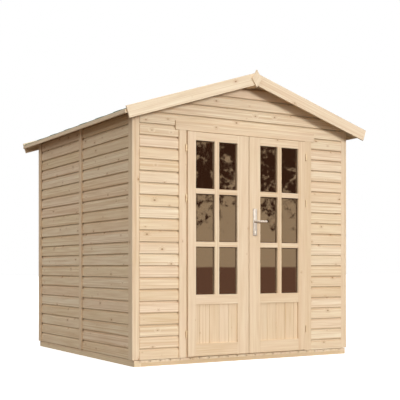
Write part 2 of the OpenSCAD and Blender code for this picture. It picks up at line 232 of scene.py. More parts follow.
def planed_spruce(name, tones, knot, knot_share, figure, roughness=0.62):
    """Planed, untreated spruce: pale boards of slightly different tone, soft growth rings that run along
    each board, small brown knots with a darker halo, and a matt surface with a faint ribbed grain. The
    figure is how strongly the streaks and rings show."""
    material, tree = new_material(name)
    grain = add(tree, "ShaderNodeAttribute", attribute_name="grain").outputs["Vector"]
    board = add(tree, "ShaderNodeAttribute", attribute_name="tint").outputs["Fac"]
    # knots sit in cells 120 mm wide and 1.6 times as long; a cell's own colour decides whether it has
    # one, and how big
    cell, squeeze = 120 * MM, 0.62
    flat = add(tree, "ShaderNodeVectorMath", {0: grain, 1: (squeeze / cell, 1 / cell, 0)},
               operation="MULTIPLY")
    spots = add(tree, "ShaderNodeTexVoronoi", {"Vector": flat, "Scale": 1.0, "Randomness": 0.9},
                voronoi_dimensions="2D")
    luck = add(tree, "ShaderNodeSeparateColor", {"Color": spots.outputs["Color"]})
    radius = add(tree, "ShaderNodeMapRange", {"Value": luck.outputs["Red"], "From Min": 1 - knot_share,
                                              "From Max": 1.0, "To Min": 0.0, "To Max": 0.07})
    heart = add(tree, "ShaderNodeMath", {0: radius, 1: spots.outputs["Distance"]}, operation="SUBTRACT")
    inside = add(tree, "ShaderNodeMapRange", {"Value": heart, "From Min": 0.0, "From Max": 0.05},
                 interpolation_type="SMOOTHSTEP")
    # the halo of a knot, and the bend of the rings round it, reach 3.5 times as far as its heart
    wide = add(tree, "ShaderNodeMath", {0: radius, 1: 3.5}, operation="MULTIPLY")
    near = add(tree, "ShaderNodeMapRange", {"Value": spots.outputs["Distance"], "From Min": wide,
                                            "From Max": 0.0}, interpolation_type="SMOOTHSTEP")
    # growth rings: shells about a pith line behind the board, bent round the knots; they lie 1 to 3 mm
    # apart in the wood and are drawn 5.5 mm apart so that they show
    length_to_width, ring_gap, swerve = 20, 5.5 * MM, (0, 12 * MM, 20 * MM)
    along = add(tree, "ShaderNodeVectorMath", {0: grain, 1: (1 / length_to_width, 1, 1)},
                operation="MULTIPLY")
    bent = add(tree, "ShaderNodeVectorMath", {0: swerve, 1: near}, operation="MULTIPLY")
    shells = add(tree, "ShaderNodeVectorMath", {0: along, 1: bent}, operation="ADD")
    rings = add(tree, "ShaderNodeTexWave", {"Vector": shells, "Scale": math.tau / (20 * ring_gap),
                                            "Distortion": 3.5, "Detail": 2.0, "Detail Scale": 0.25},
                wave_type="RINGS", rings_direction="X")
    late = add(tree, "ShaderNodeMath", {0: rings.outputs["Fac"], 1: 2.2}, operation="POWER")
    # broad streaks of tone about 18 mm wide and some 0.4 m long, and slow clouding
    streaks = add(tree, "ShaderNodeTexNoise", {"Vector": along, "Scale": 55.0, "Detail": 3.0})
    clouds = add(tree, "ShaderNodeTexNoise", {"Vector": grain, "Scale": 4.0, "Detail": 2.0})
    tone = add(tree, "ShaderNodeValToRGB", {"Fac": board},
               [(i / (len(tones) - 1), srgb(t)) for i, t in enumerate(tones)])
    streak_share = add(tree, "ShaderNodeMapRange", {"Value": streaks.outputs["Fac"], "From Min": 0.35,
                                                    "From Max": 0.8, "To Min": 0.0, "To Max": 0.56 * figure})
    dark = add(tree, "ShaderNodeMix", {"Factor": streak_share, "A": tone.outputs["Color"],
                                       "B": srgb("#c9a070")}, data_type="RGBA")
    ringed_share = add(tree, "ShaderNodeMath", {0: late, 1: 0.44 * figure}, operation="MULTIPLY")
    ringed = add(tree, "ShaderNodeMix", {"Factor": ringed_share, "A": dark, "B": srgb("#c4945c")},
                 data_type="RGBA")
    cloud_share = add(tree, "ShaderNodeMapRange", {"Value": clouds.outputs["Fac"], "From Min": 0.35,
                                                   "From Max": 0.75, "To Min": 0.0, "To Max": 0.22})
    clouded = add(tree, "ShaderNodeMix", {"Factor": cloud_share, "A": ringed, "B": srgb("#f0d0b4")},
                  data_type="RGBA")
    halo_share = add(tree, "ShaderNodeMath", {0: near, 1: 0.3}, operation="MULTIPLY")
    halo = add(tree, "ShaderNodeMix", {"Factor": halo_share, "A": clouded, "B": srgb("#b98650")},
               data_type="RGBA")
    knots = add(tree, "ShaderNodeMix", {"Factor": inside, "A": halo, "B": srgb(knot)}, data_type="RGBA")
    # painted shade: the hollows under the laps are painted browner the deeper they lie, where the lip above
    # shades them
    deep = add(tree, "ShaderNodeAttribute", attribute_name="hollow").outputs["Fac"]
    hollow_shade_share = add(tree, "ShaderNodeMapRange", {"Value": deep, "From Min": 0.86, "From Max": 1.0,
                                                  "To Min": 0.0, "To Max": 0.45})
    hollow_shaded = add(tree, "ShaderNodeMix", {"Factor": hollow_shade_share, "A": knots, "B": srgb("#76572f")},
                data_type="RGBA")
    # fibres are far finer in the wood; these are 1 mm wide and just break up the ribs of the late wood
    fibres = add(tree, "ShaderNodeTexNoise", {"Vector": along, "Scale": 900.0, "Detail": 2.0})
    rough = add(tree, "ShaderNodeMapRange", {"Value": streaks.outputs["Fac"], "To Min": roughness - 0.08,
                                             "To Max": roughness + 0.08})
    ribs = add(tree, "ShaderNodeMath", {0: late, 1: fibres.outputs["Fac"]}, operation="ADD")
    bump = add(tree, "ShaderNodeBump", {"Height": ribs, "Strength": 0.35, "Distance": 0.3 * MM})
    shader = add(tree, "ShaderNodeBsdfPrincipled", {"Base Color": hollow_shaded, "Roughness": rough, "IOR": 1.5,
                                                    "Normal": bump})
    close(tree, shader)
    return material


def granule_bitumen(name, green, band_low, band_high):
    """Bitumen shingles pressed with mineral granules: speckled matt green, greyer towards the top of each
    tab, with a near-black printed band that shows as a short dark bar over each hexagon."""
    material, tree = new_material(name)
    place = add(tree, "ShaderNodeAttribute", attribute_name="grain").outputs["Vector"]
    board = add(tree, "ShaderNodeAttribute", attribute_name="tint").outputs["Fac"]
    up = add(tree, "ShaderNodeSeparateXYZ", {"Vector": place}).outputs["Y"]
    # granules are 1.5 mm across, drawn at 4 mm so that they show
    granule = 4 * MM
    granules = add(tree, "ShaderNodeTexVoronoi", {"Vector": place, "Scale": 1 / granule})
    fleck = add(tree, "ShaderNodeSeparateColor", {"Color": granules.outputs["Color"]})
    patches = add(tree, "ShaderNodeTexNoise", {"Vector": place, "Scale": 14.0, "Detail": 4.0})
    height = add(tree, "ShaderNodeMapRange", {"Value": up, "From Min": 0.0, "From Max": band_high})
    fade = add(tree, "ShaderNodeValToRGB", {"Fac": height},
               [(0.0, srgb("#577961")), (0.35, srgb(green)), (0.62, srgb(green)),
                (band_low / band_high - 0.03, srgb("#5f7169"))])
    # the band runs on under the toes of the courses above, so its upper end never shows
    hidden, blur = 30 * MM, 4 * MM
    dark = add(tree, "ShaderNodeMapRange", {"Value": up, "From Min": band_low - blur / 2,
                                            "From Max": band_low})
    end = band_high + hidden
    ended = add(tree, "ShaderNodeMapRange", {"Value": up, "From Min": end, "From Max": end + blur,
                                             "To Min": 1.0, "To Max": 0.0})
    band = add(tree, "ShaderNodeMath", {0: dark, 1: ended}, operation="MULTIPLY")
    banded = add(tree, "ShaderNodeMix", {"Factor": band, "A": fade.outputs["Color"],
                                         "B": srgb("#2c3f3a")}, data_type="RGBA")
    worn = add(tree, "ShaderNodeMapRange", {"Value": patches.outputs["Fac"], "From Min": 0.4,
                                            "From Max": 0.75, "To Min": 0.0, "To Max": 0.35})
    patched = add(tree, "ShaderNodeMix", {"Factor": worn, "A": banded, "B": srgb("#60706a")},
                  data_type="RGBA")
    spread = add(tree, "ShaderNodeMath", {0: fleck.outputs["Red"], 1: 0.5, 2: 0.72}, operation="MULTIPLY_ADD")
    lift = add(tree, "ShaderNodeMath", {0: board, 1: 0.16, 2: spread}, operation="MULTIPLY_ADD")
    speckled = add(tree, "ShaderNodeVectorMath", {0: patched, "Scale": lift}, operation="SCALE")
    bump = add(tree, "ShaderNodeBump", {"Height": granules.outputs["Distance"], "Strength": 0.6,
                                        "Distance": 1.0 * MM})
    shader = add(tree, "ShaderNodeBsdfPrincipled", {"Base Color": speckled, "Roughness": 0.9, "IOR": 1.5,
                                                    "Normal": bump})
    close(tree, shader)
    return material


def float_glass(name):
    """Bronze float glass with a thin metal-oxide film: the pane lets little light into the room, so it
    looks dark, and mirrors the garden several times as strongly as clear glass."""
    material, tree = new_material(name)
    place = add(tree, "ShaderNodeTexCoord").outputs["Object"]
    # rollers leave a waviness about 0.3 m long, which bends reflections a little
    waves = add(tree, "ShaderNodeTexNoise", {"Vector": place, "Scale": 3.2, "Detail": 1.0})
    bump = add(tree, "ShaderNodeBump", {"Height": waves.outputs["Fac"], "Strength": 0.25,
                                        "Distance": 0.5 * MM})
    bronze, film_share = srgb("#7d6650"), 0.36
    glass = add(tree, "ShaderNodeBsdfPrincipled", {"Base Color": bronze, "Roughness": 0.0, "IOR": 1.45,
                                                   "Transmission Weight": 1.0, "Normal": bump})
    film = add(tree, "ShaderNodeBsdfAnisotropic", {"Color": srgb("#e9e2d6"), "Roughness": 0.0,
                                                   "Normal": bump})
    coated = add(tree, "ShaderNodeMixShader", {0: film_share, 1: glass, 2: film})
    lit = add(tree, "ShaderNodeBsdfTransparent", {"Color": bronze})
    path = add(tree, "ShaderNodeLightPath")
    shader = add(tree, "ShaderNodeMixShader", {0: path.outputs["Is Shadow Ray"], 1: coated, 2: lit})
    close(tree, shader)
    return material


def satin_steel(name, colour, roughness, brush=(6.0, 900.0, 900.0)):
    """Brushed or blasted stainless steel, and zinc or nickel plate: a soft broken shine with fine lines
    one way, or even dents where it is blasted, and a few duller smears from handling. The brush is about
    how many marks there are in a metre along x, y and z."""
    material, tree = new_material(name)
    place = add(tree, "ShaderNodeTexCoord").outputs["Object"]
    lines = add(tree, "ShaderNodeVectorMath", {0: place, 1: brush}, operation="MULTIPLY")
    brushed = add(tree, "ShaderNodeTexNoise", {"Vector": lines, "Scale": 1.0, "Detail": 3.0})
    smears = add(tree, "ShaderNodeTexNoise", {"Vector": place, "Scale": 35.0, "Detail": 3.0})
    both = add(tree, "ShaderNodeMath", {0: brushed.outputs["Fac"], 1: smears.outputs["Fac"]}, operation="ADD")
    rough = add(tree, "ShaderNodeMapRange", {"Value": both, "From Min": 0.6, "From Max": 1.4,
                                             "To Min": roughness - 0.08, "To Max": roughness + 0.1})
    metal = srgb(colour)
    dull = [c * 0.92 for c in metal[:3]] + [1.0]
    tone = add(tree, "ShaderNodeMix", {"Factor": smears.outputs["Fac"], "A": metal, "B": dull},
               data_type="RGBA")
    bump = add(tree, "ShaderNodeBump", {"Height": brushed.outputs["Fac"], "Strength": 0.15,
                                        "Distance": 0.05 * MM})
    shader = add(tree, "ShaderNodeBsdfPrincipled", {"Base Color": tone, "Metallic": 1.0,
                                                    "Roughness": rough, "Normal": bump})
    close(tree, shader)
    return material


def spruce(context, name, kind="planed"):
    """The spruce of one group of boards: planed outside, sawn and a little darker in the framing."""
    wood = context.scene.cabin_wood
    if kind == "sawn":
        return planed_spruce(name, [wood.sawn, wood.deep, wood.middle], wood.knot, knot_share=0.35,
                             figure=0.6, roughness=0.78)
    if kind == "clear":
        return planed_spruce(name, ["#e9d1ad", "#f0dabb", "#e8cfab", "#eed9b9"], wood.knot,
                             knot_share=0.34, figure=0.8)
    if kind == "pale":
        return planed_spruce(name, [wood.pale, "#f2dec0", wood.pale], wood.knot, knot_share=0.3,
                             figure=0.7)
    return planed_spruce(name, [wood.deep, wood.pale, wood.middle, "#f2dabc", wood.pale, wood.middle],
                         wood.knot, knot_share=0.85, figure=0.9)


# ---------------------------------------------------------------- boards

def frame_of(along, across, origin):
    """Local frame of a board: x along it, y across it and z out of its face."""
    along, across = along.normalized(), across.normalized()
    turn = Matrix((along, across, along.cross(across))).transposed().to_4x4()
    return Matrix.Translation(origin) @ turn


def prism(outline, x0, x1):
    """A closed bar along x with an outline of (y, z) points, given anticlockwise seen from +x."""
    board = bmesh.new()
    ends = [[board.verts.new((x, y, z)) for y, z in outline] for x in (x0, x1)]
    board.faces.new(list(reversed(ends[0])))
    board.faces.new(ends[1])
    for i, start in enumerate(ends[0]):
        j = (i + 1) % len(outline)
        board.faces.new((start, ends[0][j], ends[1][j], ends[1][i]))
    bmesh.ops.recalc_face_normals(board, faces=board.faces)
    return board


def ease(board, size):
    """Rounds the sharp edges of a board."""
    sharp = [e for e in board.edges if len(e.link_faces) == 2 and e.calc_face_angle(0) > math.radians(12)]
    bmesh.ops.bevel(board, geom=sharp, offset=size, segments=2, profile=0.5, affect="EDGES",
                    clamp_overlap=True)


def block(corner_a, corner_b, size):
    """A closed block between two corners, with eased edges."""
    a, b = Vector(corner_a), Vector(corner_b)
    board = bmesh.new()
    middle, extent = (a + b) / 2, b - a
    place = Matrix.Translation(middle) @ Matrix.Diagonal((*[abs(e) for e in extent], 1.0))
    bmesh.ops.create_cube(board, size=1.0, matrix=place)
    ease(board, size)
    return board


def cut_away(board, point, normal):
    """Cuts off what lies past a plane, on the side its normal points to, and closes the cut."""
    every = list(board.verts) + list(board.edges) + list(board.faces)
    bmesh.ops.bisect_plane(board, geom=every, plane_co=point, plane_no=normal, clear_outer=True, dist=1e-6)
    open_edges = [e for e in board.edges if e.is_boundary]
    if open_edges:
        bmesh.ops.holes_fill(board, edges=open_edges, sides=0)


ROOF_CUTS = [((0, 0, SOFFIT_Z), (side * math.sin(ROOF_ANGLE), 0, math.cos(ROOF_ANGLE))) for side in (-1, 1)]
GABLE_CUTS = [((0, GABLE_Y, 0), BACK), ((0, -GABLE_Y, 0), FRONT)]
# boards and trims stop 4 mm above the floor boards, so that water doesn't creep up their ends
FLOOR_CUT = ((0, 0, FLOOR_Z + 4 * MM), -UP)


def cuts_between(x0, x1):
    """Cuts that leave what stands between two places along x."""
    return [((x0, 0, 0), LEFT), ((x1, 0, 0), RIGHT)]


def slope_cuts(side, x):
    """Cuts that leave what lies on one roof slope, from the ridge out to x."""
    return [((0, 0, 0), (-side, 0, 0)), ((side * x, 0, 0), (side, 0, 0))]


class Stack:
    """Boards gathered into one mesh. Each has its own tone and its own place in the grain, moved across
    it by up to the spread."""

    def __init__(self, seed, spread=0.05):
        self.mesh = bmesh.new()
        self.spread = spread
        self.draw = random.Random(seed)

    def lay(self, board, to_world=None, cuts=(), grain_frame=None, depth=None):
        """Moves a board into place, cuts it and notes its grain, and how deep its hollows lie for the painted
        shade in them.
        """
        to_world = to_world or Matrix.Identity(4)
        # the depth in the hollows is what the wood paints darker as shade
        if depth:
            hollow = board.verts.layers.float.new("hollow")
            for corner in board.verts:
                corner[hollow] = depth(corner.co)
        board.transform(to_world)
        for point, normal in cuts:
            cut_away(board, point, normal)
        along, deep = self.draw.uniform(0, 90), self.draw.uniform(0.02, 0.08)
        wide = self.draw.uniform(-self.spread, self.spread)
        tone = self.draw.random()
        to_grain = (grain_frame or to_world).inverted()
        grain = board.verts.layers.float_vector.new("grain")
        tint = board.verts.layers.float.new("tint")
        for corner in board.verts:
            corner[grain] = to_grain @ corner.co + Vector((along, wide, deep))
            corner[tint] = tone
        carrier = bpy.data.meshes.new("board")
        board.to_mesh(carrier)
        board.free()
        self.mesh.from_mesh(carrier)
        bpy.data.meshes.remove(carrier)

    def piece(self, name, material, body, slot, nodes):
        """Makes the boards one piece that rides on a body and stands for construction nodes."""
        settle(self.mesh, name, material, body, nodes)


def settle(solid, name, material, body, nodes):
    """Makes a bmesh a piece that rides on a body and stands for construction nodes."""
    mesh = bpy.data.meshes.new(name)
    solid.to_mesh(mesh)
    solid.free()
    mesh.materials.append(material)
    piece = bpy.data.objects.new(name, mesh)
    bpy.context.scene.collection.objects.link(piece)
    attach(piece, body)
    if nodes:
        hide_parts(*nodes)
    return piece


def middle_of(solid):
    """Mean of a solid's corners."""
    return sum((v.co for v in solid.verts), Vector()) / len(solid.verts)


def islands(mesh):
    """The separate solids of a mesh, each as its own bmesh with flat faces whole."""
    whole = bmesh.new()
    whole.from_mesh(mesh)
    bmesh.ops.remove_doubles(whole, verts=whole.verts, dist=1e-5)
    bmesh.ops.dissolve_limit(whole, angle_limit=math.radians(0.5), verts=whole.verts, edges=whole.edges)
    left = set(whole.faces)
    found = []
    while left:
        group, todo = set(), [left.pop()]
        while todo:
            face = todo.pop()
            group.add(face)
            for edge in face.edges:
                for other in edge.link_faces:
                    if other in left:
                        left.discard(other)
                        todo.append(other)
        solid = bmesh.new()
        copies = {}
        for face in sorted(group, key=lambda f: f.index):
            for corner in face.verts:
                if corner not in copies:
                    copies[corner] = solid.verts.new(corner.co)
            solid.faces.new([copies[c] for c in face.verts])
        bmesh.ops.recalc_face_normals(solid, faces=solid.faces)
        found.append(solid)
    whole.free()
    found.sort(key=lambda solid: tuple(round(c, 4) for c in middle_of(solid)))
    return found


def grain_of(solid):
    """Frame of a timber whose grain runs along its longest edge."""
    runs = sorted(((e.verts[1].co - e.verts[0].co) for e in solid.edges), key=lambda d: -d.length)
    along = runs[0].normalized()
    across = next((d for d in runs if abs(d.normalized().dot(along)) < 0.3), along.orthogonal())
    across = (across - along * across.dot(along)).normalized()
    return frame_of(along, across, middle_of(solid))


def timbers(names, material, slot, size, seed, cuts=()):
    """Planed timbers that follow the solids of construction nodes, with eased edges. Each node gets a
    piece with the name given for it, and a seed of its own."""
    for i, (node, name) in enumerate(names.items()):
        stack = Stack(seed + i)
        for solid in islands(frame["nodes"][node].data):
            place = grain_of(solid)
            ease(solid, size)
            stack.lay(solid, cuts=cuts, grain_frame=place)
        stack.piece(name, material, frame["nodes"][node]["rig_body"], slot, [node])


# ---------------------------------------------------------------- walls

def wall_board_outline(pitch, thick, cove):
    """Wall board seen from its end: a lip that hangs over the board below, a flat face, a hollow along the
    top and a tongue behind the lip of the board above."""
    lap = thick - cove
    lip = 1.2 * MM
    tongue = 5.5 * MM
    play = 0.6 * MM
    gap = 4.5 * MM
    turn = [math.radians(a) for a in range(0, 91, 15)]
    hollow = [(pitch - gap - 1.4 * cove * math.cos(a), thick - cove * math.sin(a)) for a in turn]
    return ([(tongue + play, 0.0), (tongue + play, lap + play), (0.0, lap + play), (0.0, thick - lip),
             (0.35 * lip, thick - 0.35 * lip), (lip, thick)] + hollow
            + [(pitch + tongue, lap), (pitch + tongue, 0.0)])


def clad(context, name, node, out, x0, x1, first, last, seed):
    """Lays the wall boards numbered first to last on the side that faces out, from x0 to x1 along it."""
    timber = context.scene.cabin_timber
    pitch, cove, thick = timber.wall_pitch, timber.cove, WALL_OUT - WALL_IN
    outline = wall_board_outline(pitch, thick, cove)
    stack = Stack(seed)

    # how deep a corner lies in the cove, which the wood paints darker as shade
    def depth(spot):
        return min(1.0, (thick - spot.z) / cove) if spot.z > thick - cove - 0.1 * MM else 0.0

    for k in range(first, last):
        place = frame_of(UP.cross(out), UP, out * WALL_IN + UP * (FLOOR_Z + k * pitch))
        stack.lay(prism(outline, x0, x1), place, [FLOOR_CUT] + ROOF_CUTS, depth=depth)
    wood = spruce(context, name.replace("_", " ") + " spruce")
    stack.piece(name, wood, "cabin", "wall_boards", [node])


class CABIN_OT_wall_boards(bpy.types.Operator):
    """Lay the level boards of all four walls and both gables"""

    bl_idname = "cabin.wall_boards"
    bl_label = "Wall Boards"

    def execute(self, context):
        pitch = context.scene.cabin_timber.wall_pitch
        over_door = int((low("front_gable").z - FLOOR_Z) / pitch)
        ridge = math.ceil((SOFFIT_Z - FLOOR_Z) / pitch)
        eaves = math.ceil((high("right_wall_front").z - FLOOR_Z) / pitch)
        walls = [
            ("front_boards_left", "front_wall_left", FRONT, -CORNER_X, -DOOR_POST_X, 0, over_door),
            ("front_boards_right", "front_wall_right", FRONT, DOOR_POST_X, CORNER_X, 0, over_door),
            ("front_boards_gable", "front_gable", FRONT, -CORNER_X, CORNER_X, over_door, ridge),
            ("back_boards_left", "back_wall_left", BACK, 0, CORNER_X, 0, ridge),
            ("back_boards_right", "back_wall_right", BACK, -CORNER_X, 0, 0, ridge),
            ("left_boards_front", "left_wall_front", LEFT, 0, WALL_IN, 0, eaves),
            ("left_boards_back", "left_wall_back", LEFT, -WALL_IN, 0, 0, eaves),
            ("right_boards_front", "right_wall_front", RIGHT, -WALL_IN, 0, 0, eaves),
            ("right_boards_back", "right_wall_back", RIGHT, 0, WALL_IN, 0, eaves),
        ]
        for seed, wall in enumerate(walls, 11):
            clad(context, *wall, seed)
        return {"FINISHED"}


# ---------------------------------------------------------------- trims, framing and base

class CABIN_OT_trims(bpy.types.Operator):
    """Plane the corner trims, battens and door trims"""

    bl_idname = "cabin.trims"
    bl_label = "Trims"

    def execute(self, context):
        arris = context.scene.cabin_timber.arris
        wood = spruce(context, "clear planed spruce", "clear")
        sides = {"end_wall_trims": "end_trims", "left_wall_trims": "left_trims",
                 "right_wall_trims": "right_trims"}
        timbers(sides, wood, "trim_boards", arris, 21, [FLOOR_CUT])
        timbers({"door_head_trim": "door_trim_head"}, wood, "trim_boards", arris * 0.4, 24)
        return {"FINISHED"}


class CABIN_OT_framing(bpy.types.Operator):
    """Saw the studs, plates and purlins"""

    bl_idname = "cabin.framing"
    bl_label = "Framing"

    def execute(self, context):
        arris = context.scene.cabin_timber.arris
        wood = spruce(context, "sawn spruce", "sawn")
        names = {"side_wall_studs": "studs_of_sides", "end_wall_studs": "studs_of_ends",
                 "side_plates": "plates_of_sides", "end_plates": "plates_of_ends", "purlins": "roof_purlins"}
        timbers(names, wood, "framing_timber", arris, 31)
        return {"FINISHED"}


def floor_board_outline(pitch, thick):
    """Floor board seen from its end: tongue on one edge and a deeper groove in the other, with eased
    upper and lower edges."""
    half, tongue, chamfer = thick / 2, 3.0 * MM, 2.4 * MM
    reach, depth, play = 6 * MM, 14 * MM, 0.8 * MM
    right = pitch - play
    return [(chamfer, 0), (right - chamfer, 0), (right, chamfer), (right, half - tongue),
            (right + reach, half - tongue), (right + reach, half + tongue), (right, half + tongue),
            (right, thick - chamfer), (right - chamfer, thick), (chamfer, thick), (0, thick - chamfer),
            (0, half + tongue + play), (depth, half + tongue + play), (depth, half - tongue - play),
            (0, half - tongue - play), (0, chamfer)]


def boarding(outline, x0, x1, place, pitch, count, cuts, seed):
    """Boards with one outline, laid along local x and side by side along local y."""
    stack = Stack(seed)
    for i in range(count):
        stack.lay(prism(outline, x0, x1), place @ Matrix.Translation((0, i * pitch, 0)), cuts)
    return stack


class CABIN_OT_base(bpy.types.Operator):
    """Lay the bearers and the floor boards"""

    bl_idname = "cabin.base"
    bl_label = "Base"

    def execute(self, context):
        arris, first = 0.5 * MM, 38 * MM
        timbers({"side_bearers": "bearers_of_sides", "cross_bearers": "bearers_across"},
                spruce(context, "bearer spruce", "sawn"), "floor_boards", arris, 41)
        pitch = context.scene.cabin_timber.floor_pitch
        a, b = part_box("floor_deck")
        # the first joint shows this far from the left end of the floor
        place = frame_of(FRONT, RIGHT, Vector((a.x + first - pitch, 0, a.z)))
        count = math.ceil((b.x - a.x - first) / pitch) + 1
        boards = boarding(floor_board_outline(pitch, b.z - a.z), a.y, b.y, place, pitch, count,
                          cuts_between(a.x, b.x), 43)
        wood = spruce(context, "floor spruce")
        boards.piece("floor_boarding", wood, "cabin", "floor_boards", ["floor_deck"])
        return {"FINISHED"}


# ---------------------------------------------------------------- doors

class CABIN_OT_doorway(bpy.types.Operator):
    """Plane the frame posts, the head and the threshold of the doorway"""

    bl_idname = "cabin.doorway"
    bl_label = "Doorway"

    def execute(self, context):
        arris = context.scene.cabin_timber.arris
        wood = spruce(context, "doorway spruce", "clear")
        names = {"door_jambs": "doorway_posts", "door_head": "doorway_head",
                 "door_threshold": "doorway_threshold"}
        timbers(names, wood, "door_timber", arris, 51)
        return {"FINISHED"}


def pane_height(doors, a, b):
    """Height of one pane in a light that goes from corner a to corner b."""
    return (b.z - a.z - (doors.rows - 1) * doors.cross_bar) / doors.rows


def bars(stack, glass, leaf, doors, size):
    """Glazing bars of one leaf, on both faces of its glass."""
    (a, b), (front, back) = glass, leaf
    middle = (a.x + b.x) / 2
    half = doors.upright_bar / 2
    pane = pane_height(doors, a, b)
    for y0, y1 in ((front.y, a.y), (b.y, back.y)):
        upright = block((middle - half, y0, a.z), (middle + half, y1, b.z), size)
        stack.lay(upright, grain_frame=frame_of(UP, RIGHT, Vector((middle, y0, 0))))
        for row in range(1, doors.rows):
            z = a.z + row * pane + (row - 1) * doors.cross_bar
            for x0, x1 in ((a.x, middle - half), (middle + half, b.x)):
                level = block((x0, y0, z), (x1, y1, z + doors.cross_bar), size)
                stack.lay(level, grain_frame=frame_of(RIGHT, UP, Vector((x0, y0, z))))


def beads(stack, glass, leaf, size):
    """Square beads that hold the glass from inside the cabin."""
    (a, b), (_, back) = glass, leaf
    wide, deep = 10 * MM, 9 * MM
    y0, y1 = b.y, min(b.y + deep, back.y)
    for x0, x1 in ((a.x, a.x + wide), (b.x - wide, b.x)):
        stack.lay(block((x0, y0, a.z), (x1, y1, b.z), size),
                  grain_frame=frame_of(UP, RIGHT, Vector((x0, y0, 0))))
    for z0, z1 in ((a.z, a.z + wide), (b.z - wide, b.z)):
        stack.lay(block((a.x + wide, y0, z0), (b.x - wide, y1, z1), size),
                  grain_frame=frame_of(RIGHT, UP, Vector((0, y0, z0))))


def leaf_timber(context, side, seed):
    """Stiles, rails and glazing bars of one leaf."""
    size = context.scene.cabin_timber.arris * 0.35
    leaf, glass, panel = (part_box(side + part) for part in ("_door_frame", "_door_glass", "_door_panel"))
    (a, b), (light_a, light_b), (panel_a, panel_b) = leaf, glass, panel
    stack = Stack(seed)
    for x0, x1 in ((a.x, light_a.x), (light_b.x, b.x)):
        stack.lay(block((x0, a.y, a.z), (x1, b.y, b.z), size),
                  grain_frame=frame_of(UP, RIGHT, Vector((x0, a.y, 0))))
    for z0, z1 in ((a.z, panel_a.z), (panel_b.z, light_a.z), (light_b.z, b.z)):
        stack.lay(block((light_a.x, a.y, z0), (light_b.x, b.y, z1), size),
                  grain_frame=frame_of(RIGHT, UP, Vector((0, a.y, z0))))
    bars(stack, glass, leaf, context.scene.cabin_doors, size)
    beads(stack, glass, leaf, size)
    wood = spruce(context, side + " leaf spruce", "clear")
    stack.piece(side + "_leaf", wood, side + "_door", "door_timber", [side + "_door_frame"])


def leaf_panel(context, side, first, seed):
    """Upright boards of the lower panel of one leaf; the first joint lies that far from its left edge."""
    pitch = context.scene.cabin_timber.panel_pitch
    a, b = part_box(side + "_door_panel")
    place = frame_of(UP, RIGHT, Vector((a.x + first - pitch, b.y, 0)))
    count = math.ceil((b.x - a.x - first) / pitch) + 1
    outline = [(y, -z) for y, z in reversed(floor_board_outline(pitch, b.y - a.y))]
    boards = boarding(outline, a.z, b.z, place, pitch, count, cuts_between(a.x, b.x), seed)
    wood = spruce(context, side + " panel spruce", "clear")
    boards.piece(side + "_leaf_panel", wood, side + "_door", "door_timber", [side + "_door_panel"])


class CABIN_OT_doors(bpy.types.Operator):
    """Join the stiles, rails, glazing bars and lower panels of both leaves"""

    bl_idname = "cabin.doors"
    bl_label = "Doors"

    def execute(self, context):
        leaf_timber(context, "left", 61)
        leaf_timber(context, "right", 62)
        leaf_panel(context, "left", 39 * MM, 63)
        leaf_panel(context, "right", 74 * MM, 64)
        return {"FINISHED"}


def pane_edge_shade_tape(name):
    """Dark brown foam tape between glass and timber, dull and slightly uneven, that stands in as painted
    shade along the edges of the panes.
    """
    material, tree = new_material(name)
    place = add(tree, "ShaderNodeTexCoord").outputs["Object"]
    cells = add(tree, "ShaderNodeTexNoise", {"Vector": place, "Scale": 260.0, "Detail": 2.0})
    # painted shade: the tape is near-black brown so that the pane edges look shaded
    tone = add(tree, "ShaderNodeMix", {"Factor": cells.outputs["Fac"], "A": srgb("#3c2612"),
                                       "B": srgb("#5c4022")}, data_type="RGBA")
    shader = add(tree, "ShaderNodeBsdfPrincipled", {"Base Color": tone, "Roughness": 0.85, "IOR": 1.5})
    close(tree, shader)
    return material


def shade_tape_round_panes(context, side, material, seed):
    """Dark tape along the edges of every pane of one leaf, on both faces of its glass, as painted shade at
    the pane edges.
    """
    doors = context.scene.cabin_doors
    a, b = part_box(side + "_door_glass")
    wide, thin, easing = 6 * MM, 1.2 * MM, 0.2 * MM
    middle = (a.x + b.x) / 2
    pane = pane_height(doors, a, b)
    stack = Stack(seed)
    for row in range(doors.rows):
        z0 = a.z + row * (pane + doors.cross_bar)
        z1 = z0 + pane
        for x0, x1 in ((a.x, middle - doors.upright_bar / 2), (middle + doors.upright_bar / 2, b.x)):
            strips = [(x0, z0, x0 + wide, z1), (x1 - wide, z0, x1, z1),
                      (x0 + wide, z0, x1 - wide, z0 + wide), (x0 + wide, z1 - wide, x1 - wide, z1)]
            for y0, y1 in ((a.y - thin, a.y), (b.y, b.y + thin)):
                for xa, za, xb, zb in strips:
                    stack.lay(block((xa, y0, za), (xb, y1, zb), easing))
    stack.piece(side + "_pane_edge_shade_tape", material, side + "_door", "door_glass", [])


class CABIN_OT_glass(bpy.types.Operator):
    """Glaze both leaves and press dark tape round the panes, as painted shade along their edges"""

    bl_idname = "cabin.glass"
    bl_label = "Glass"

    def execute(self, context):
        glass = float_glass("bronze float glass")
        tape = pane_edge_shade_tape("dark pane edge shade tape")
        for side, seed in (("left", 65), ("right", 66)):
            paint(side + "_door_glass", glass)
            shade_tape_round_panes(context, side, tape, seed)
        return {"FINISHED"}


def paint(node, material):
    """Gives a construction node a finish of its own."""
    mesh = frame["nodes"][node].data
    mesh.materials.clear()
    mesh.materials.append(material)


class CABIN_OT_hinges(bpy.types.Operator):
    """Plate the drilled-in hinges with zinc"""

    bl_idname = "cabin.hinges"
    bl_label = "Hinges"

    def execute(self, context):
        zinc = satin_steel("yellow-passivated zinc", "#e0cba8", 0.5)
        for node in ("frame_hinges", "left_door_hinges", "right_door_hinges"):
            paint(node, zinc)
        return {"FINISHED"}


# ---------------------------------------------------------------- door furniture

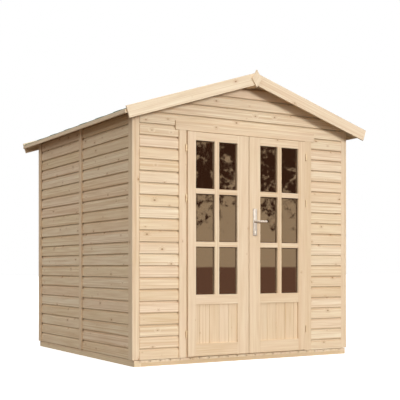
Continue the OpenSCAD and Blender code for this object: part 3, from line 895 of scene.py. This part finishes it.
def ring_tube(path, radii):
    """A closed tube along a list of points, with a radius at each."""
    sides = 24
    steps = [math.tau * s / sides for s in range(sides)]
    tube = bmesh.new()
    rings = []
    for i, point in enumerate(path):
        ahead = path[min(i + 1, len(path) - 1)] - path[max(i - 1, 0)]
        turn = ahead.normalized().to_track_quat("Z", "Y").to_matrix()
        rings.append([tube.verts.new(point + turn @ Vector((math.cos(t), math.sin(t), 0)) * radii[i])
                      for t in steps])
    for below, above in zip(rings, rings[1:]):
        for s in range(sides):
            tube.faces.new((below[s], below[(s + 1) % sides], above[(s + 1) % sides], above[s]))
    tube.faces.new(list(reversed(rings[0])))
    tube.faces.new(rings[-1])
    bmesh.ops.recalc_face_normals(tube, faces=tube.faces)
    return tube


def lever(start, out, along, reach, length, radius):
    """A lever that leaves the plate along out, turns through a round bend and ends in a dome."""
    bend, neck = 1.9 * radius, 0.94 * radius
    bend_steps, dome_steps = 8, 6
    corner = start + out * (reach - bend) + along * bend
    path = [start, start + out * (reach - bend)]
    for step in range(1, bend_steps + 1):
        a = math.radians(90) * step / bend_steps
        path.append(corner + out * bend * math.sin(a) - along * bend * math.cos(a))
    radii = [neck] * len(path)
    tip = start + out * reach + along * (length - radius)
    path.append(tip)
    radii.append(radius)
    # the dome stops just short of its pole, which leaves a small face to close it
    for step in range(1, dome_steps + 1):
        a = math.radians(88) * step / dome_steps
        path.append(tip + along * radius * math.sin(a))
        radii.append(radius * math.cos(a))
    return ring_tube(path, radii)


def draw_out(sheet, faces, move):
    """Draws faces out into a closed solid and gives the corners that moved."""
    grown = bmesh.ops.extrude_face_region(sheet, geom=faces)
    moved = [part for part in grown["geom"] if isinstance(part, bmesh.types.BMVert)]
    bmesh.ops.translate(sheet, verts=moved, vec=move)
    bmesh.ops.recalc_face_normals(sheet, faces=sheet.faces)
    return moved


def flat_plate(outline, y0, y1, round_front):
    """A plate with an outline in x and z, from y0 to y1, with its edge at y0 rounded."""
    plate = bmesh.new()
    back = [plate.verts.new((x, y1, z)) for x, z in outline]
    front = draw_out(plate, [plate.faces.new(back)], (0, y0 - y1, 0))
    rim = [e for e in plate.edges if all(v in front for v in e.verts)]
    bmesh.ops.bevel(plate, geom=rim, offset=round_front, segments=4, profile=0.5, affect="EDGES")
    return plate


def arc(x, z, radius, start, end, steps=8):
    """Points on a circle about (x, z), from one angle to another in degrees."""
    turns = [math.radians(start + (end - start) * i / steps) for i in range(steps + 1)]
    return [(x + radius * math.cos(t), z + radius * math.sin(t)) for t in turns]


def join(solid, other):
    """Adds one bmesh to another and frees it."""
    carrier = bpy.data.meshes.new("joined")
    other.to_mesh(carrier)
    other.free()
    solid.from_mesh(carrier)
    bpy.data.meshes.remove(carrier)


def plate_pair(outline, plate, leaf, rounding):
    """The same plate on both faces of a leaf."""
    solid = flat_plate(outline, plate[0].y, leaf[0].y, rounding)
    join(solid, flat_plate(outline, plate[1].y, leaf[1].y, rounding))
    return solid


def fitting(solid, name, material, body, node):
    """Makes a solid a piece of the handle set, shaded smooth except across sharp edges."""
    piece = settle(solid, name, material, body, [node])
    for face in piece.data.polygons:
        face.use_smooth = True
    piece.data.set_sharp_from_angle(angle=math.radians(35))


class CABIN_OT_handle(bpy.types.Operator):
    """Fit the handle plates, the lock cylinder and the levers"""

    bl_idname = "cabin.handle"
    bl_label = "Handle"

    def execute(self, context):
        steel = satin_steel("satin stainless steel", "#bab3a9", 0.55)
        blasted = satin_steel("bead-blasted stainless steel", "#e4ddd3", 0.74, (700.0, 700.0, 700.0))
        brass = satin_steel("nickel-plated brass", "#c6c1b4", 0.45)
        plate = plate_a, plate_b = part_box("handle_plates")
        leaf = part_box("right_door_frame")
        lock = lock_a, lock_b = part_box("lock_cylinder")
        lever_a, lever_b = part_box("door_handle")
        middle = (plate_a.x + plate_b.x) / 2

        corner = 7 * MM
        left, right = plate_a.x + corner, plate_b.x - corner
        foot, top = plate_a.z + corner, plate_b.z - corner
        outline = []
        for x, z, start in ((right, top, 0), (left, top, 90), (left, foot, 180), (right, foot, 270)):
            outline += arc(x, z, corner, start, start + 90)
        fitting(plate_pair(outline, plate, leaf, 2.5 * MM), "handle_plate_pair", steel, "right_door",
                "handle_plates")

        barrel = (lock_b.z - lock_a.z) / 2
        centre_z = (lock_a.z + lock_b.z) / 2
        lobe, drop = 4.8 * MM, 15 * MM
        outline = (arc(middle, centre_z, barrel, -55, 235, 20)
                   + arc(middle, centre_z - barrel - drop + lobe, lobe, 180, 360))
        fitting(plate_pair(outline, lock, leaf, 0.6 * MM), "lock_profile", brass, "right_door",
                "lock_cylinder")

        thick, collar = 9.0 * MM, 9.5 * MM
        spindle = Vector((middle, 0, (lever_a.z + lever_b.z) / 2))
        reach = plate_a.y - lever_a.y - thick
        length = lever_b.x - middle
        solid = lever(spindle + BACK * plate_a.y, FRONT, RIGHT, reach, length, thick)
        join(solid, lever(spindle + BACK * plate_b.y, BACK, RIGHT, reach, length, thick))
        rises = [0, 5 * MM, 6.5 * MM, 7 * MM]
        radii = [collar, collar, collar - 1 * MM, collar - 2.5 * MM]
        for y, out in ((plate_a.y, FRONT), (plate_b.y, BACK)):
            start = spindle + BACK * y + out * 0.4 * MM
            join(solid, ring_tube([start + out * rise for rise in rises], radii))
        fitting(solid, "lever_pair", blasted, "handle", "door_handle")
        return {"FINISHED"}


# ---------------------------------------------------------------- roof

def slope_frame(side, x, z):
    """Frame on a roof slope: x along the eave, y up the slope and z out of it."""
    up_slope = Vector((-side * math.cos(ROOF_ANGLE), 0, math.sin(ROOF_ANGLE)))
    out = Vector((side * math.sin(ROOF_ANGLE), 0, math.cos(ROOF_ANGLE)))
    return frame_of(up_slope.cross(out), up_slope, Vector((side * x, 0, z)))


class CABIN_OT_roof_boards(bpy.types.Operator):
    """Lay the roof boards from the ridge down to the eaves"""

    bl_idname = "cabin.roof_boards"
    bl_label = "Roof Boards"

    def execute(self, context):
        pitch = context.scene.cabin_timber.roof_pitch
        wood = spruce(context, "roof board spruce", "sawn")
        thick = (DECK_Z - SOFFIT_Z) * math.cos(ROOF_ANGLE)
        count = math.ceil(2 * GABLE_Y / pitch)
        for name, side, seed in (("left", -1, 71), ("right", 1, 72)):
            slope = Vector((side, 0, -ROOF_SLOPE)).normalized()
            place = frame_of(slope, BACK * side, Vector((0, -side * GABLE_Y, SOFFIT_Z)))
            # the boards start past the ridge and end past the eave, and the cuts bring them to length
            boards = boarding(floor_board_outline(pitch, thick), -50 * MM, EAVE_X * 1.1, place, pitch, count,
                              slope_cuts(side, EAVE_X) + GABLE_CUTS, seed)
            boards.piece("roof_boarding_" + name, wood, "cabin", "roof_boards", ["roof_deck_" + name])
        return {"FINISHED"}


def course(tab, exposure, thick, start, count, lift):
    """One strip of hexagonal tabs, with x along the eave and y up the slope."""
    flat = 0.32 * tab
    half_wide = (tab - flat) / 2
    height = 2 * exposure + 20 * MM
    strip = bmesh.new()
    levels = {}

    def point(x, y):
        key = (round(x, 5), round(y, 5))
        if key not in levels:
            levels[key] = strip.verts.new((x, y, lift * (1 - y / height)))
        return levels[key]

    for i in range(count):
        centre = start + i * tab
        left, right = centre - half_wide, centre + half_wide
        toe_left, toe_right = centre - flat / 2, centre + flat / 2
        gap = centre + tab - half_wide
        for outline in (((left, exposure), (toe_left, 0), (toe_right, 0), (right, exposure)),
                        ((left, exposure), (right, exposure), (right, height), (left, height)),
                        ((right, exposure), (gap, exposure), (gap, height), (right, height))):
            strip.faces.new([point(x, y) for x, y in outline])
    draw_out(strip, strip.faces[:], (0, 0, -thick))
    return strip


class CABIN_OT_shingles(bpy.types.Operator):
    """Lay the hexagonal shingles on both slopes and cap the ridge"""

    bl_idname = "cabin.shingles"
    bl_label = "Shingles"

    def execute(self, context):
        look = context.scene.cabin_shingles
        tab, exposure, thick = look.tab_pitch, look.exposure, look.thickness
        # the dark bar over each hexagon is 35 mm high, and the tabs are shifted 100 mm along the eave
        bar, shift = 35 * MM, 100 * MM
        green = granule_bitumen("green granule bitumen", look.green, 2 * exposure - bar, 2 * exposure)
        eave_z = DECK_Z - COVER_X * ROOF_SLOPE
        courses = math.ceil(COVER_X / math.cos(ROOF_ANGLE) / exposure)
        tabs = math.ceil(2 * GABLE_Y / tab) + 2
        # a wedge under the first course closes the eave; its edge has the tone of a tab 100 mm above its toe
        deep, tone_up = 200 * MM, 100 * MM
        wedge = [(0, 0), (deep, 0), (deep, 0.2 * thick), (0, 1.15 * thick)]
        for name, side, seed in (("left", -1, 81), ("right", 1, 82)):
            stack = Stack(seed, 0)
            base = slope_frame(side, COVER_X, eave_z)
            cuts = GABLE_CUTS + slope_cuts(side, COVER_X)
            stack.lay(prism(wedge, -GABLE_Y, GABLE_Y), base, cuts,
                      base @ Matrix.Translation((0, -tone_up, 0)))
            for row in range(courses):
                start = -GABLE_Y - tab + (row % 2) * tab / 2 + shift
                strip = course(tab, exposure, thick, start, tabs, 2.2 * thick)
                stack.lay(strip, base @ Matrix.Translation((0, row * exposure, 0)), cuts)
            stack.piece("shingles_" + name, green, "cabin", "shingles", ["roof_cover_" + name])
        ridge_caps(green, thick, exposure)
        return {"FINISHED"}


def ridge_caps(material, thick, exposure):
    """Single shingles bent over the ridge, each lapping the one behind it."""
    half, length, bend = high("ridge_cap").x, 250 * MM, 12 * MM
    base_z = DECK_Z + 3.4 * thick
    foot, turn = (half, -half * ROOF_SLOPE), (bend, -bend * ROOF_SLOPE)
    profile = [(-foot[0], foot[1]), (-turn[0], turn[1]), (0, 1 * MM + 0.4 * turn[1]), turn, foot]
    stack = Stack(83, 0)
    for i in range(math.ceil(2 * GABLE_Y / exposure)):
        y0 = -GABLE_Y + i * exposure
        cap = bmesh.new()
        front, back = ([cap.verts.new((x, y, base_z + z + lift)) for x, z in profile]
                       for y, lift in ((y0, 1.4 * thick), (y0 + length, 0.0)))
        for j in range(len(profile) - 1):
            cap.faces.new((front[j], front[j + 1], back[j + 1], back[j]))
        draw_out(cap, cap.faces[:], (0, 0, -thick))
        stack.lay(cap, cuts=GABLE_CUTS, grain_frame=frame_of(RIGHT, BACK, Vector((0, y0, base_z))))
    stack.piece("ridge_shingles", material, "cabin", "shingles", ["ridge_cap"])


class CABIN_OT_barge_boards(bpy.types.Operator):
    """Plane the barge boards, the diamonds at the ridge and the strips along the eaves"""

    bl_idname = "cabin.barge_boards"
    bl_label = "Barge Boards"

    def execute(self, context):
        arris = context.scene.cabin_timber.arris
        wood = spruce(context, "barge board spruce", "pale")
        names = {"left_barge_boards": "barges_left", "right_barge_boards": "barges_right",
                 "ridge_diamonds": "diamonds", "eave_fascias": "eave_strips"}
        timbers(names, wood, "trim_boards", arris, 91)
        return {"FINISHED"}


# ---------------------------------------------------------------- stage

# what the panes mirror low down: the garden's soil, and the floor in the same brown
EARTH = "#936b57"


def by_ray(tree, seen, thrown, mirrored):
    """Takes one shader for what is seen straight or through a pane, one for the light that is thrown on
    to other things, and one for what the panes and the metal mirror."""
    path = add(tree, "ShaderNodeLightPath")
    straight = add(tree, "ShaderNodeMath", {0: path.outputs["Is Camera Ray"],
                                            1: path.outputs["Is Transmission Ray"]}, operation="MAXIMUM")
    plain = add(tree, "ShaderNodeMixShader", {0: straight, 1: thrown, 2: seen})
    return add(tree, "ShaderNodeMixShader", {0: path.outputs["Is Glossy Ray"], 1: plain, 2: mirrored})


def white_floor():
    """A matt studio floor: white when seen straight, with the soft shadow of the cabin; earth brown in the
    panes; and grey to the light that it throws back, so that the eaves stay dark underneath."""
    material, tree = new_material("matt white floor")
    paper = add(tree, "ShaderNodeBsdfDiffuse", {"Color": srgb("#f3f3f3")})
    glow = add(tree, "ShaderNodeEmission", {"Color": srgb("#ffffff"), "Strength": 0.64})
    seen = add(tree, "ShaderNodeAddShader", {0: paper, 1: glow})
    grey = add(tree, "ShaderNodeBsdfDiffuse", {"Color": srgb("#7c7a76")})
    earth = add(tree, "ShaderNodeEmission", {"Color": srgb(EARTH), "Strength": 1.0})
    close(tree, by_ray(tree, seen, grey, earth))
    return material


def garden(tree):
    """What the panes and the metal mirror: a sunlit tan wall on brown earth, dark foliage hanging in
    front of it, and pale sky high above."""
    way = add(tree, "ShaderNodeTexCoord").outputs["Generated"]
    height = add(tree, "ShaderNodeSeparateXYZ", {"Vector": way}).outputs["Z"]
    crowns = add(tree, "ShaderNodeTexNoise", {"Vector": way, "Scale": 16.0, "Detail": 2.0})
    leaves = add(tree, "ShaderNodeTexNoise", {"Vector": way, "Scale": 100.0, "Detail": 5.0,
                                              "Roughness": 0.68})
    above = add(tree, "ShaderNodeMapRange", {"Value": height, "From Min": 0.01, "From Max": 0.1,
                                             "To Min": -0.25, "To Max": 0.66})
    rough = add(tree, "ShaderNodeMath", {0: crowns.outputs["Fac"], 1: 1.2, 2: above},
                operation="MULTIPLY_ADD")
    fine = add(tree, "ShaderNodeMath", {0: leaves.outputs["Fac"], 1: 2.4, 2: rough},
               operation="MULTIPLY_ADD")
    cover = add(tree, "ShaderNodeMapRange", {"Value": fine, "From Min": 2.06, "From Max": 2.44},
                interpolation_type="SMOOTHSTEP")
    foliage = add(tree, "ShaderNodeMix", {"Factor": cover, "A": srgb("#e3c6a4"), "B": srgb("#563829")},
                  data_type="RGBA")
    ground = add(tree, "ShaderNodeMapRange", {"Value": height, "From Min": -0.001, "From Max": 0.001})
    stood = add(tree, "ShaderNodeMix", {"Factor": ground, "A": srgb(EARTH), "B": foliage}, data_type="RGBA")
    open_sky = add(tree, "ShaderNodeMapRange", {"Value": height, "From Min": 0.22, "From Max": 0.4})
    tone = add(tree, "ShaderNodeMix", {"Factor": open_sky, "A": stood, "B": srgb("#f1ebe1")},
               data_type="RGBA")
    return add(tree, "ShaderNodeBackground", {"Color": tone, "Strength": 1.0})


def studio_world(ambient):
    """Even light from all round; the camera sees plain white, the panes and the metal see a garden."""
    world = bpy.data.worlds.new("studio")
    world.use_nodes = True
    tree = world.node_tree
    tree.nodes.clear()
    light = add(tree, "ShaderNodeBackground", {"Color": srgb("#ffffff"), "Strength": ambient})
    white = add(tree, "ShaderNodeBackground", {"Color": srgb("#ffffff"), "Strength": 1.0})
    add(tree, "ShaderNodeOutputWorld", {"Surface": by_ray(tree, white, light, garden(tree))})
    return world


def sun_lamp(context, name, strength, side, height, size):
    """A far lamp that stands an angle to the right of the front and an angle above the horizon."""
    sun = bpy.data.lights.new(name, "SUN")
    sun.energy = strength
    sun.angle = size
    lamp = bpy.data.objects.new(name, sun)
    flat = math.cos(height)
    towards = Vector((flat * math.sin(side), -flat * math.cos(side), math.sin(height)))
    lamp.rotation_euler = towards.to_track_quat("Z", "Y").to_euler()
    context.scene.collection.objects.link(lamp)


class CABIN_OT_stage(bpy.types.Operator):
    """Set up the floor, the light and the camera"""

    bl_idname = "cabin.stage"
    bl_label = "Stage"

    def execute(self, context):
        stage = context.scene.cabin_stage
        half = 60.0
        sheet = bpy.data.meshes.new("floor_sheet")
        sheet.from_pydata([(-half, -half, 0), (half, -half, 0), (half, half, 0), (-half, half, 0)], [],
                          [(0, 1, 2, 3)])
        sheet.materials.append(white_floor())
        floor = bpy.data.objects.new("floor_sheet", sheet)
        context.scene.collection.objects.link(floor)

        sun_lamp(context, "key_light", stage.key, stage.key_side, stage.key_height, stage.key_size)
        # side, height and size in degrees
        broad_lamps = (("fill_light", stage.fill, (-62, 8, 50)), ("top_light", stage.top, (-20, 78, 60)))
        for name, strength, degrees in broad_lamps:
            sun_lamp(context, name, strength, *[math.radians(angle) for angle in degrees])
        context.scene.world = studio_world(stage.ambient)

        lens = bpy.data.cameras.new("camera")
        lens.sensor_width = 36.0
        lens.lens = stage.lens
        lens.shift_y = stage.rise
        camera = bpy.data.objects.new("camera", lens)
        camera.location = stage.camera_place
        camera.rotation_euler = (math.radians(90), 0, stage.camera_turn)
        context.scene.collection.objects.link(camera)
        context.scene.camera = camera
        context.scene.view_settings.view_transform = "Standard"
        return {"FINISHED"}


# ---------------------------------------------------------------- add-on

OPERATORS = [CABIN_OT_stage, CABIN_OT_wall_boards, CABIN_OT_trims, CABIN_OT_framing, CABIN_OT_base,
             CABIN_OT_doorway, CABIN_OT_doors, CABIN_OT_glass, CABIN_OT_hinges, CABIN_OT_handle,
             CABIN_OT_roof_boards, CABIN_OT_shingles, CABIN_OT_barge_boards]


class CABIN_PT_sidebar(bpy.types.Panel):
    """Lists the settings and the pieces of the cabin."""

    bl_idname = "CABIN_PT_sidebar"
    bl_label = "Board-clad Cabin"
    bl_space_type = "VIEW_3D"
    bl_region_type = "UI"
    bl_category = "Cabin"

    def draw(self, context):
        for name, group in SETTINGS.items():
            column = self.layout.box().column(align=True)
            for prop in group.__annotations__:
                column.prop(getattr(context.scene, name), prop)
        for operator in OPERATORS:
            self.layout.operator(operator.bl_idname)


CLASSES = [*SETTINGS.values(), *OPERATORS, CABIN_PT_sidebar]


def register():
    """Makes the settings, operators and panel known."""
    for cls in CLASSES:
        bpy.utils.register_class(cls)
    for name, group in SETTINGS.items():
        setattr(bpy.types.Scene, name, PointerProperty(type=group))


def unregister():
    """Takes them away again."""
    for name in SETTINGS:
        delattr(bpy.types.Scene, name)
    for cls in reversed(CLASSES):
        bpy.utils.unregister_class(cls)


def main():
    """Makes every piece and the stage."""
    register()
    for operator in OPERATORS:
        group, action = operator.bl_idname.split(".")
        getattr(getattr(bpy.ops, group), action)()


if __name__ == "__main__":
    main()
